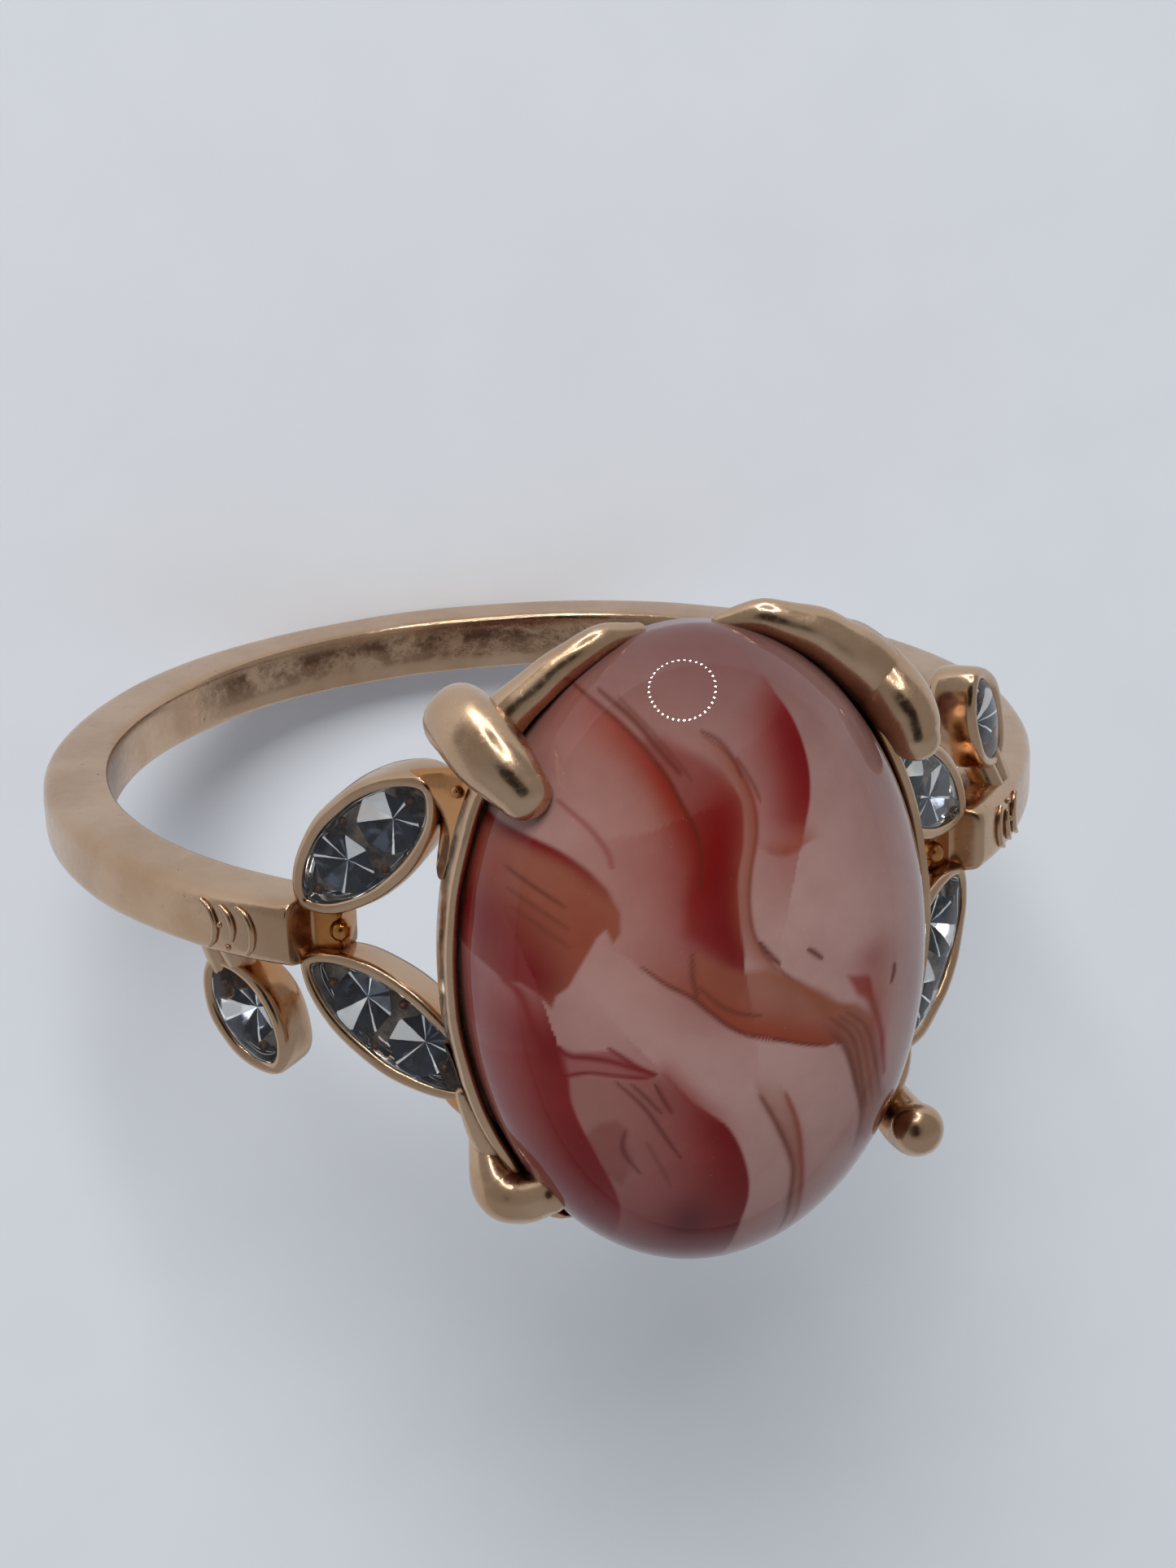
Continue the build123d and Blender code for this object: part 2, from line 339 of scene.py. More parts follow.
# --- leaf geometry ---
class LeafFrame:
    """Where a leaf's pocket is, read from its resin node: rim centre, long axis, normal, half sizes."""

    def __init__(self, label):
        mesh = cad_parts[f"{label}_leaf_resin"].data
        spot = sum((p.center * p.area for p in mesh.polygons), Vector()) / sum(
            p.area for p in mesh.polygons)
        outward = Vector((spot.x, 0, spot.z)).normalized()
        flat = [p for p in mesh.polygons if p.normal.dot(outward) > 0.9]
        best = max(flat, key=lambda p: p.area)
        self.normal = best.normal.normalized()
        height = max(mesh.vertices[i].co.dot(self.normal) for i in best.vertices)
        rim = [v.co.copy() for v in mesh.vertices if abs(v.co.dot(self.normal) - height) < 1e-5]
        start, end = max(((a, b) for a in rim for b in rim), key=lambda ab: (ab[0] - ab[1]).length)
        if start.z > end.z:
            start, end = end, start
        self.along = (end - start).normalized()
        self.across = self.normal.cross(self.along)
        self.centre = (start + end) / 2 / MM
        self.half_length = (end - start).length / 2 / MM
        self.half_width = max(abs((v / MM - self.centre).dot(self.across)) for v in rim)

    def place(self, x, y, z):
        """A point in millimetres from the leaf's own coordinates."""
        return self.centre + self.along * x + self.across * y + self.normal * z


LEAF_TIPS = {   # sharpness of the outer tip and of the inner one, and how far both are drawn out
    "upper": (1.3, 1.22, 0.0), "lower": (1.45, 1.25, 0.22), "small": (1.3, 1.2, 0.0),
}


def leaf_ring(leaf, shape, grow, height, count=96):
    """One closed ring of a leaf's outline, grown outward from its pocket's edge."""
    outer_tip, inner_tip, drawn_out = LEAF_TIPS[shape]
    ring = []
    for c, s in around(count):
        power = outer_tip + (inner_tip - outer_tip) * (0.5 + 0.5 * c)
        x = c * (leaf.half_length + drawn_out + grow)
        y = copysign(abs(s) ** power, s) * (leaf.half_width + grow)
        ring.append(leaf.place(x, y, height))
    return np.array([tuple(p) for p in ring])


def scaled_ring(ring, factor):
    """A ring drawn in towards its middle."""
    middle = ring.mean(axis=0)
    return middle + (ring - middle) * factor


CUP_PROFILE = (   # (outward from the pocket's edge, height above the rim)
    (0.14, -1.06), (0.22, -1.04), (0.28, -0.97), (0.3, -0.85), (0.315, -0.6), (0.315, -0.35),
    (0.31, -0.18), (0.28, -0.07), (0.23, -0.01), (0.16, 0.01), (0.09, 0.0), (0.035, -0.03),
    (0.0, -0.09), (-0.02, -0.18), (-0.04, -0.45), (-0.09, -0.68), (-0.18, -0.76),
)
RESIN_PROFILE = ((-0.2, -0.755), (-0.11, -0.68), (-0.06, -0.45), (-0.04, -0.18), (-0.02, -0.09),
                 (0.01, -0.055))
RESIN_RISE = 0.13
RESIN_STEPS = 14
WALL_MIDDLE = -0.52      # height of a cup wall's middle, from the rim
BEAD_R = 0.13
PRONG_R = 0.11
BEAD_SINK = -0.16


def ball(centre, radius, count=14, levels=8):
    """Points and faces of a small ball."""
    rings = []
    for k in range(1, levels):
        lift = pi * k / levels
        wide, low = radius * sin(lift), -radius * cos(lift)
        rings.append(np.array([tuple(centre + Vector((wide * c, wide * s, low)))
                               for c, s in around(count)]))
    return skin(rings)


def join(*solids):
    """One list of points and faces from several."""
    points, faces, total = [], [], 0
    for some_points, some_faces in solids:
        points.append(np.asarray(some_points, float))
        faces += [tuple(i + total for i in face) for face in some_faces]
        total += len(some_points)
    return np.concatenate(points), faces


def leaf_beads(leaf, gem_count):
    """Small cast beads: one near each end of the pocket, and a pair between two stones."""
    ends = leaf.half_length - 0.4
    spots = [(ends, 0.02, BEAD_R), (-ends - 0.02, -0.03, BEAD_R)]
    if gem_count == 2:
        spots += [(0.02, leaf.half_width - 0.17, PRONG_R), (-0.02, 0.17 - leaf.half_width, PRONG_R)]
    return [ball(leaf.place(x, y, BEAD_SINK), radius) for x, y, radius in spots]


def make_cup(label, shape, gem_count, metal, floor, seed):
    """One leaf cup: tapered outer wall, rolled rim, pocket with an oxidised floor, and its beads."""
    leaf = LeafFrame(label)
    rings = [leaf_ring(leaf, shape, outward, height) for outward, height in CUP_PROFILE]
    rings.insert(0, scaled_ring(rings[0], 0.5))
    rings.append(scaled_ring(rings[-1], 0.5))
    points, faces = skin(rings)
    points = roughen(points, 0.03, 0.9, seed)
    wall_faces = len(faces)
    points, faces = join((points, faces), *leaf_beads(leaf, gem_count))
    obj = make_mesh(f"{label}_leaf_cup_casting", points, faces, [metal, floor])
    inside = len(rings[0]) * (len(CUP_PROFILE) - 2)
    for polygon in obj.data.polygons:
        if polygon.index < wall_faces and min(polygon.vertices) >= inside:
            polygon.material_index = 1
    return finish_piece(obj, METAL_SLOT, f"{label}_leaf_cup")


def make_resin(label, shape, material):
    """The clear filling: flush at the pocket's edge, domed over the stones."""
    leaf = LeafFrame(label)
    rings = [leaf_ring(leaf, shape, outward, height) for outward, height in RESIN_PROFILE]
    rings.insert(0, scaled_ring(rings[0], 0.5))
    edge = rings[-1]
    for step in range(1, RESIN_STEPS + 1):
        inward = sin(step / RESIN_STEPS * pi / 2) * 0.985
        ring = scaled_ring(edge, 1 - inward)
        rings.append(ring + np.array(leaf.normal) * RESIN_RISE * (1 - (1 - inward) ** 2))
    points, faces = skin(rings)
    obj = make_mesh(f"{label}_leaf_resin_dome", points, faces, [material])
    return finish_piece(obj, "clear_resin", f"{label}_leaf_resin")


GEM_GIRDLE_R, GEM_TABLE_R, GEM_STAR_R = 0.67, 0.36, 0.53
GEM_TABLE_Z, GEM_STAR_Z, GEM_GIRDLE_Z, GEM_BELT_Z, GEM_CULET_Z = -0.09, -0.155, -0.26, -0.3, -0.73
GEM_LINE = radians(2.6)      # half angle of the thin bright line between two foil facets
# painted highlights: the thin lines that take the painted lit foil
GEM_PAINTED_HIGHLIGHT_LINES = (0, 2, 6, 8, 12)
GEM_FOLD = 8                      # facets round the stone


def make_rhinestone(label, number, materials, spin, bright):
    """Round brilliant: table, star and bezel facets in clear glass over a foiled eight-fold back."""
    node = f"{label}_rhinestone_{number}"
    low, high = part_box(node)
    leaf = LeafFrame(label)
    base = leaf.centre + leaf.along * ((low + high) / 2 / MM - leaf.centre).dot(leaf.along)

    def ring(radius, height, angles):
        return [base + leaf.along * radius * cos(a) + leaf.across * radius * sin(a)
                + leaf.normal * height for a in angles]

    step = 2 * pi / GEM_FOLD
    corners = [spin + step * i for i in range(GEM_FOLD)]
    middles = [a + step / 2 for a in corners]
    edge = [a + shift for a in corners for shift in (-GEM_LINE, GEM_LINE)]
    points = ring(GEM_TABLE_R, GEM_TABLE_Z, corners) + ring(GEM_STAR_R, GEM_STAR_Z, middles)
    points += ring(GEM_GIRDLE_R, GEM_GIRDLE_Z, edge) + ring(GEM_GIRDLE_R, GEM_BELT_Z, edge)
    points.append(base + leaf.normal * GEM_CULET_Z)
    star, girdle, belt = GEM_FOLD, 2 * GEM_FOLD, 4 * GEM_FOLD
    culet = len(points) - 1
    faces, slots = [tuple(range(GEM_FOLD))], [0]
    for i in range(GEM_FOLD):
        after = (i + 1) % GEM_FOLD
        left, right, far = girdle + 2 * i, girdle + 2 * i + 1, girdle + 2 * after
        faces += [(i, star + i, after), (i, left, right), (i, right, star + i),
                  (star + i, right, far), (star + i, far, after)]
        slots += [0] * 5
    for i in range(2 * GEM_FOLD):
        after = (i + 1) % (2 * GEM_FOLD)
        faces += [(girdle + i, belt + i, belt + after, girdle + after),
                  (belt + i, culet, belt + after)]
        # painted light: slot 2 is the painted lit foil, on the listed highlight lines and the chosen
        # facets; slot 1 is the painted shaded foil
        slots += [0, 2 if i in GEM_PAINTED_HIGHLIGHT_LINES or i // 2 in bright else 1]
    obj = make_mesh(f"{node}_facets", [tuple(p) for p in points], faces, materials)
    obj.data.shade_flat()
    for polygon, slot in zip(obj.data.polygons, slots):
        polygon.material_index = slot
    return finish_piece(obj, "rhinestone_glass", node)


# --- shank, gallery and claws ---
BORE_R = 10.1
BAND_OUT = 11.64
BAND_HALF = 0.725
FORK_STOP = radians(37.2)     # the band ends here, between the long leaves
FORK_LENGTH = radians(3.4)    # length of its low floor
FORK_RISE = radians(1.5)      # and of the slope up to full thickness
FORK_OUT = 10.95
FORK_HALF = 0.52
FORK_BEAD_R = 0.25
SOOT_HALF_ANGLE = radians(48)      # the tarnished stripe inside the back of the band
SOOT_TOP_R, SOOT_MIDDLE_Y, SOOT_HALF_WIDTH = 10.35, 0.12, 0.5


def on_band(angle, y, radius):
    """A point at an angle from the stone's centre line, on the left side of the ring."""
    return (-radius * sin(angle), y, radius * cos(angle))


def band_ring(angle, half_width, outer, shrink=1.0, count=44):
    """The band's section at an angle: flat sides, crisp bore edges, soft outer edges."""
    middle, half_thick = (BORE_R + outer) / 2, (outer - BORE_R) / 2 * shrink
    ring = []
    for c, s in around(count, 0.5):
        r = middle + copysign(abs(c) ** (0.4 if c > 0 else 0.16), c) * half_thick
        y = copysign(abs(s) ** 0.42, s) * half_width * shrink
        ring.append(on_band(angle, y, r))
    return np.array(ring)


def fork_ring(past_end, right=False):
    """The band's section near its end, where it drops to the low floor between two long leaves."""
    rise = smooth_step((past_end - FORK_LENGTH) / FORK_RISE)
    spread = smooth_step(past_end / FORK_LENGTH)
    outer = FORK_OUT + (BAND_OUT - FORK_OUT) * rise
    half_width = FORK_HALF + (BAND_HALF - FORK_HALF) * spread
    rounded = 1 - 0.16 * (1 - smooth_step(past_end / radians(0.35)))
    angle = FORK_STOP + past_end
    return band_ring(2 * pi - angle if right else angle, half_width, outer, rounded)


def turned(points):
    """Points of the left shoulder turned half round the stone's axis."""
    return np.asarray(points) * np.array([-1, -1, 1])


def make_shank(metal):
    """The band, its two ends dropping to low floors between the long leaves, each with a bead."""
    fine = np.linspace(0, FORK_LENGTH + FORK_RISE, 40)
    start = FORK_STOP + fine[-1]
    rings = [fork_ring(past) for past in fine]
    for angle in np.linspace(start, 2 * pi - start, 400)[1:-1]:
        rings.append(band_ring(angle, BAND_HALF, BAND_OUT))
    rings += [fork_ring(past, right=True) for past in fine[::-1]]
    bead = ball(Vector(on_band(FORK_STOP, 0.05, FORK_OUT - 0.02)), FORK_BEAD_R)
    points, faces = join(skin(rings), bead, (turned(bead[0]), bead[1]))
    points = roughen(points, 0.03, 2.6, 1)
    obj = make_mesh("shank_casting", points, faces, [metal])
    radius = np.hypot(points[:, 0], points[:, 2])
    from_back = np.abs(np.arctan2(points[:, 0], -points[:, 2]))
    from_middle = np.abs(points[:, 1] - SOOT_MIDDLE_Y)
    add_attribute(obj, "soot", smooth_step((SOOT_TOP_R - radius) / 0.15)
                  * smooth_step((SOOT_HALF_WIDTH - from_middle) / 0.3)
                  * smooth_step((SOOT_HALF_ANGLE - from_back) / 0.25))
    from_stone = np.arctan2(np.abs(points[:, 0]), points[:, 2])
    add_attribute(obj, "stain", smooth_step((radius - BORE_R) / 0.2)
                  * smooth_step((FORK_STOP + FORK_LENGTH * 1.15 - from_stone) / 0.02))
    return finish_piece(obj, METAL_SLOT, "shank")


def tube(path, radii, count):
    """A round-ended tapered rod along a path, as points and faces."""
    path = np.asarray(path, float)
    rings = []
    side = Vector((0, 0, 1))
    for k, centre in enumerate(path):
        tangent = Vector(path[min(k + 1, len(path) - 1)] - path[max(k - 1, 0)]).normalized()
        side = (side - tangent * side.dot(tangent)).normalized()
        up = tangent.cross(side)
        rings.append(np.array([tuple(Vector(centre) + side * radii[k] * cos(a)
                                     + up * radii[k] * sin(a))
                               for a in np.linspace(0, 2 * pi, count, endpoint=False)]))
    ends = []
    for ring, way in ((rings[0], Vector(path[0] - path[1])),
                      (rings[-1], Vector(path[-1] - path[-2]))):
        reach = np.linalg.norm(ring - ring.mean(axis=0), axis=1).mean() * 0.95
        way = np.array(way.normalized())
        ends.append([scaled_ring(ring, cos(t)) + way * reach * sin(t)
                     for t in np.linspace(0.25, 1.5, 6)])
    return skin(list(reversed(ends[0])) + rings + ends[1])


NECK_SPREAD, NECK_R = 0.26, 0.34
NECK_IN_CUP = 0.45       # from the small leaf's inner tip
NECK_IN_SIDE, NECK_IN_FACE = 0.3, 0.45    # from the band's side and from its outer face
CURL_START = radians(44.6)
CURL_R, CURL_DOT_R = 0.088, 0.075
CURLS = (   # (distance along the band, +Y offset) on its outer face
    ((1.62, 0.5), (1.4, 0.32), (1.28, 0.02), (1.32, -0.3), (1.46, -0.5)),
    ((1.08, 0.46), (0.88, 0.26), (0.8, -0.02), (0.84, -0.26)),
    ((0.64, 0.5), (0.42, 0.34), (0.29, 0.02), (0.32, -0.3), (0.44, -0.5)),
)
CURL_DOTS = ((0.98, -0.46), (1.16, 0.02))


def make_tendril(side, metal):
    """Fine cast curls and dots on the band, and the two short necks that carry the small leaf."""
    leaf = LeafFrame("left_small")
    solids = []
    for across in (-NECK_SPREAD, NECK_SPREAD):
        root = leaf.place(NECK_IN_CUP - leaf.half_length, across, WALL_MIDDLE)
        angle = atan2(-root.x, root.z)
        foot = Vector(on_band(angle, NECK_IN_SIDE - BAND_HALF, BAND_OUT - NECK_IN_FACE))
        path = curve_through((tuple(root), tuple((root + foot) / 2), tuple(foot)), 9)
        solids.append(tube(path, [NECK_R] * len(path), 14))
    count = 26
    for curl in CURLS:
        spots = [on_band(CURL_START + s / BAND_OUT, y, BAND_OUT + 0.03)
                 for s, y in curve_through(curl, count)]
        widths = [CURL_R * (0.55 + 0.45 * sin(pi * (k + 0.5) / count)) for k in range(count)]
        solids.append(tube(spots, widths, 10))
    for s, y in CURL_DOTS:
        solids.append(ball(Vector(on_band(CURL_START + s / BAND_OUT, y, BAND_OUT)), CURL_DOT_R))
    points, faces = join(*solids)
    if side == "right":
        points = turned(points)
    obj = make_mesh(f"{side}_tendril_curls", points, faces, [metal])
    return finish_piece(obj, METAL_SLOT, f"{side}_tendril")


GALLERY_END = 0.77       # from this share of the half length on, the wall drops away under the stone
GALLERY_SLOPE = 0.14     # over this share
GALLERY_CLEARANCE = 0.02
GALLERY_TUCK = 0.5


def make_gallery(metal):
    """Oval wall round the stone, drawn in below, with a rolled rim and a seat inside."""
    low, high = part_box("gallery")
    half_x, half_y = high.x / MM, high.y / MM
    top, bottom = high.z / MM, low.z / MM
    seat = bottom + 1.0
    profile = [(-0.28, seat), (-1.02, seat), (-1.02, bottom + 0.05), (-0.98, bottom), (-0.76, bottom),
               (-0.68, bottom + 0.05), (-0.02, bottom + 0.88), (0.0, seat), (0.0, top - 0.1),
               (-0.03, top - 0.03), (-0.09, top), (-0.17, top), (-0.23, top - 0.03), (-0.27, top - 0.1)]
    oval = around(160)
    rings = [np.array([((half_x + d) * c, (half_y + d) * s, z) for c, s in oval]) for d, z in profile]
    points, faces = skin(rings + rings[:1], cap_start=False, cap_end=False)
    ends = smooth_step((np.abs(points[:, 1]) / half_y - GALLERY_END) / GALLERY_SLOPE)
    stone_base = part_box("cabochon")[0].z / MM - GALLERY_CLEARANCE
    points[:, 2] -= ends * np.maximum(points[:, 2] - stone_base, 0)
    inward = 1 - ends * GALLERY_TUCK / np.hypot(points[:, 0], points[:, 1])
    points[:, :2] *= inward[:, None]
    points = roughen(points, 0.03, 1.3, 2)
    obj = make_mesh("gallery_casting", points, faces, [metal])
    return finish_piece(obj, METAL_SLOT, "gallery")


# Claws are bent over by hand. Each has its own path, then a fin along the wall, as (x, y, z, radius).
CLAWS = {
    "left_upper": (
        ((-4.35, 5.05, 10.8, 0.62), (-4.5, 5.28, 11.6, 0.72), (-4.54, 5.32, 12.11, 0.75),
         (-4.31, 5.02, 12.85, 0.73), (-4.05, 4.68, 13.3, 0.66), (-3.82, 4.36, 13.6, 0.55)),
        ((-4.15, 5.05, 12.05, 0.54), (-3.45, 5.66, 12.08, 0.46), (-2.6, 6.24, 12.05, 0.38),
         (-1.75, 6.66, 11.92, 0.32), (-0.9, 6.6, 11.6, 0.26))),
    "right_upper": (
        ((3.4, 5.7, 10.8, 0.5), (3.7, 5.68, 11.5, 0.6), (4.2, 5.1, 12.15, 0.68),
         (4.46, 4.58, 12.62, 0.64), (4.5, 4.2, 12.92, 0.5)),
        ((4.0, 5.3, 12.05, 0.66), (3.38, 5.9, 12.05, 0.62), (2.55, 6.44, 12.0, 0.5),
         (1.7, 6.74, 11.92, 0.38), (0.9, 6.62, 11.6, 0.28))),
    "left_lower": (
        ((-4.2, -3.55, 10.75, 0.33), (-4.34, -4.3, 11.35, 0.42), (-4.22, -4.86, 11.8, 0.58),
         (-3.82, -4.98, 12.2, 0.54), (-3.36, -4.76, 12.58, 0.45)),
        ((-4.2, -4.2, 11.4, 0.38), (-4.55, -3.55, 11.45, 0.28), (-4.85, -2.75, 11.5, 0.14))),
    "right_lower": (
        ((4.4, -4.35, 10.6, 0.46), (4.58, -4.62, 11.3, 0.5), (4.68, -4.78, 11.9, 0.54),
         (4.74, -4.8, 12.3, 0.58), (4.66, -4.66, 12.62, 0.57)),
        ((4.3, -4.3, 11.45, 0.42), (4.65, -3.55, 11.5, 0.28), (4.9, -2.65, 11.55, 0.13))),
}


def make_claw(label, metal, seed):
    """A thick rounded claw on its own bent path, with a fin that flows into the gallery wall."""
    spine, fin = (curve_through(points, 30) for points in CLAWS[label])
    points, faces = join(tube(spine[:, :3], spine[:, 3], 30), tube(fin[:, :3], fin[:, 3], 20))
    points = roughen(points, 0.055, 0.9, seed)
    obj = make_mesh(f"{label}_claw_casting", points, faces, [metal], radians(75))
    return finish_piece(obj, METAL_SLOT, f"{label}_claw")


WEB_WALL_Z = 11.15       # where it meets the wall
WEB_HALF_THICK = 0.34
WEB_STEPS = 12
WEB_STAIN = 0.8          # the amber on it
WEB_BEADS = {"lower": ((0.55, 0.35), (0.75, -0.15)), "upper": ((0.85, 0.6),)}   # (along, across)


def make_web(label, shape, metal, seed):
    """The low saddle that ties a long leaf's inner end to the gallery wall, with small cast beads."""
    leaf = LeafFrame(label)
    _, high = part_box("gallery")
    tip = leaf.place(leaf.half_length - 0.3, 0, WALL_MIDDLE)
    half = np.array([high.x, high.y]) / MM
    ratio = hypot(tip.x / half[0], tip.y / half[1])
    wall = Vector((tip.x / ratio, tip.y / ratio, WEB_WALL_Z))
    tangent = Vector((-wall.y * (half[0] / half[1]), wall.x * (half[1] / half[0]), 0)).normalized()
    if tangent.dot(leaf.across) < 0:
        tangent = -tangent
    rings = []
    for k in range(WEB_STEPS + 1):
        t = k / WEB_STEPS
        centre = tip.lerp(wall, t * 1.05)
        across = leaf.across.lerp(tangent, smooth_step(t)).normalized()
        half_width = 0.62 + 0.1 * (1 - t) + 0.62 * t ** 2
        ring = []
        for c, s in around(26):
            x = copysign(abs(c) ** 0.7, c) * half_width
            z = copysign(abs(s) ** 0.7, s) * WEB_HALF_THICK + 0.16 * (x / half_width) ** 2
            ring.append(tuple(centre + across * x + Vector((0, 0, z))))
        rings.append(np.array(ring))
    beads = [ball(tip.lerp(wall, t) + leaf.across.lerp(tangent, t) * x + Vector((0, 0, 0.36)), BEAD_R)
             for t, x in WEB_BEADS[shape]]
    points, faces = join(skin(rings), *beads)
    points = roughen(points, 0.05, 0.6, seed)
    obj = make_mesh(f"{label}_bridge_casting", points, faces, [metal])
    add_attribute(obj, "stain", np.full(len(points), WEB_STAIN))
    return finish_piece(obj, METAL_SLOT, f"{label}_bridge")


# --- cabochon ---
# The swirls are painted in layers over the milky ground. Paths (x, y, x, y, ...) and clouds are in
# percent of the stone's half width and half length, +Y up. Other reaches and widths are in
# millimetres. Strengths along a path are in percent. Colours are linear.
MILK = (0.375, 0.225, 0.203)
PINK = (0.29, 0.115, 0.092)
MAUVE = (0.14, 0.054, 0.05)
ROSE = (0.215, 0.045, 0.046)
TAN = (0.225, 0.068, 0.036)
ORANGE = (0.225, 0.04, 0.018)
BROWN = (0.1, 0.02, 0.01)
RED = (0.205, 0.014, 0.01)
DEEP = (0.135, 0.0015, 0.0025)
MAROON = (0.06, 0.002, 0.004)
BRICK = (0.185, 0.035, 0.028)
RUST = (0.15, 0.03, 0.02)
WOBBLE, WOBBLE_GRAIN = 0.06, 1.1    # how far the paths waver, and over what length


def pairs(numbers):
    """Points in fractions of the half sizes, from x, y, x, y and so on in percent."""
    return np.reshape(numbers, (-1, 2)) / 100


# upper middle: a dark vein, the red mass with its sharp right edge, and the tan ribbon beside it
A_VEIN = (-50, 88, -45, 85, -39, 81, -32, 75, -26, 68, -22, 61, -18, 54, -17, 47, -19, 37)
A_EDGE = (-9, 72, -3, 67, 1, 61, 1, 55, 0, 48, -3, 41, -4, 33, -4, 25, -3, 18)
A_AREA = ((-34, 77, -24, 78, -10, 72) + A_EDGE[2:]
          + (-8, 16.5, -15, 20, -26, 26, -24, 38, -19, 48, -20, 56, -25, 66))
A_RIBBON = (-10, 78, -1, 73, 5, 66, 7, 59, 6, 50, 3, 42, 1, 33, 2, 24, 9, 15, 20, 7, 34, -1, 46, -5)
B_EDGE = (21, 90, 25, 85, 29, 80, 32, 72, 33, 65, 31, 58, 28, 52, 25, 46)
B_LOW = (5, 50, 11, 46.5, 18, 45, 25, 45.5)
# left patch
C_PATCH = (-105, 49, -85, 51.5, -77, 50, -68, 47.5, -59, 43, -53, 39, -49, 33, -50, 27, -53, 24,
           -55, 28, -59, 25, -64, 18, -70, 10, -74.5, 7, -76, 3, -81, 7, -86, 9, -90, 8, -95, 11,
           -105, 15)
C_TOP = (-90, 52) + C_PATCH[2:10] + (-52, 38)
C_THREAD = (-90, 8, -86, 5, -84, 0, -82, -5, -79, -10, -76, -16)
# lower left loop
E_EDGE = (-73.5, -9, -72, -13, -71, -19, -70, -27, -66, -36, -61, -44, -55, -54, -50, -64, -48, -73,
          -48, -84)
E_LENS = (-74, -8.5, -68, -10, -55, -8.5, -47, -12, -39, -16, -45, -17.5, -54, -16.5, -63, -16.5,
          -71, -19)
E_LINE = (-74, -9, -70, -11.5, -63, -11.5, -54, -12, -46, -14, -39, -16)
E_RIGHT = (-35, -16, -25, -25, -18, -30, -11, -35, -5, -43, -1, -53, 1, -63, 0, -74, -1, -86, -3, -97)
E_AREA = (-72, -17, -55, -17, -37, -17, -18, -31, -5, -43, 1, -63, 0, -78, -2, -96, -30, -96,
          -48, -84, -50, -64, -61, -44, -70, -27)
E_NOTCH = (-66, -40, -60, -33, -54, -31, -50, -33.5, -49, -39, -46, -46, -50, -56, -56, -52)
# tan swirl across the middle and its turn down the right side
F_LOWER = (-44, 17, -35, 12.5, -25, 8, -18, 3, -8, -3, 3, -7, 17, -10.5, 33, -14)
F_AREA = ((-24, 21, -24, 14, -23, 7) + F_LOWER[6:]
          + (32, -6, 40, -3, 34, 2, 20, 8, 8, 13, -4, 14, -14, 17))
F_TURN = (20, 8, 34, 0, 48, -4, 57, -12, 62, -24, 66, -38, 72, -45, 80, -53, 76, -60, 63, -60,
          53, -52, 53, -42, 48, -29, 41, -16, 32, -7)
G_LEFT = (3, -25, 13, -39, 20, -52, 22, -64, 23, -76, 21, -93)
G_RIGHT = (14, -26, 21, -39, 24, -52, 27, -67, 28, -82, 25, -92)


